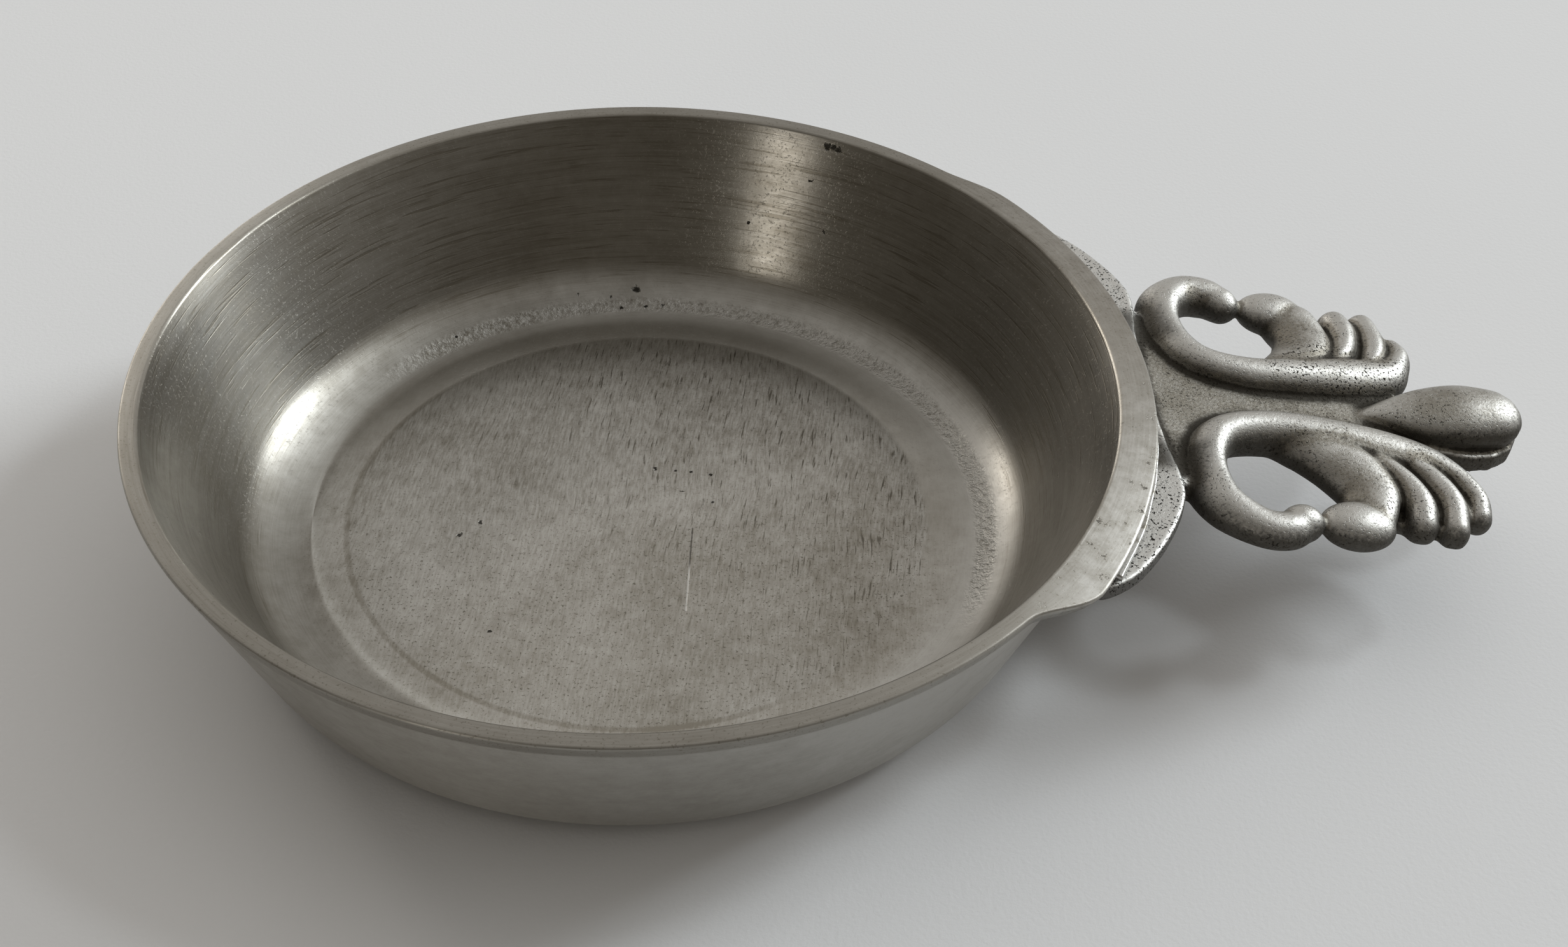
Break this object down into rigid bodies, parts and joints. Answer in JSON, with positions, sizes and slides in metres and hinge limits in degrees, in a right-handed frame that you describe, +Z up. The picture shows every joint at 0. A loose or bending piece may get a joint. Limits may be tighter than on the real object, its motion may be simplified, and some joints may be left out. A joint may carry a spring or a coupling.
{
  "type": "pewter wine taster",
  "caption": "Shallow round pewter tasting bowl with leaning walls, a flat base, a crescent lip and an openwork scroll-and-leaf handle soldered under the rim.",
  "frame": {"origin": "middle of the flat base, on the table", "axes": "+X from the bowl's axis out along the handle, +Z up out of the bowl, +Y to the left of the handle seen from above with the handle pointing away"},
  "size_m": [0.1487, 0.1048, 0.0225],
  "materials": {
    "turned_pewter": null,
    "cast_pewter": "cast pewter, worn bright on the ridges and dark in the recesses",
    "solder": "ragged bright soft solder"
  },
  "bodies": {
    "root": {"bowl": "turned_pewter", "handle": "cast_pewter", "solder_seam": "solder"}
  },
  "joints": []
}
